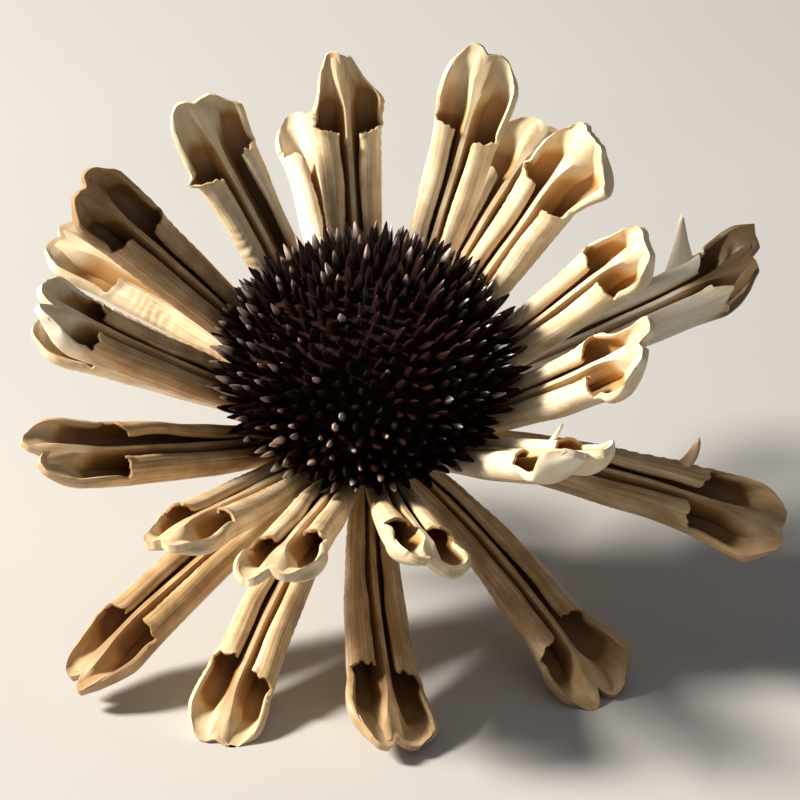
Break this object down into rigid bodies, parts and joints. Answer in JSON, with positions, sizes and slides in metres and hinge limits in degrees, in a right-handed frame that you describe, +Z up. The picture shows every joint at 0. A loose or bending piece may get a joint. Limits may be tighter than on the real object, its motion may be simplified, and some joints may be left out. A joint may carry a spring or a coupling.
{
  "type": "dried thistle flower head",
  "caption": "Dried flower head lying on a surface: a dark bristly cone in a raised cup of split seed-husk petals, with a spread lower ring of petals and a short cut stem.",
  "frame": {"origin": "on the surface that the head lies on, under the middle of its bounding box", "axes": "+X along the head's widest spread, -Y the way the leaning head faces, +Z up from the surface"},
  "size_m": [0.0898, 0.0814, 0.0621],
  "materials": {
    "dry_husk": "straw-tan split seed husk, satin outside, matt brown in the open pockets",
    "dark_bristle": "near-black maroon bristles with glossy red-brown tips",
    "dried_stem": "matt dark brown, ridged lengthwise"
  },
  "bodies": {
    "root": {"petals": "dry_husk", "cone": "dark_bristle", "stem": "dried_stem"}
  },
  "joints": []
}
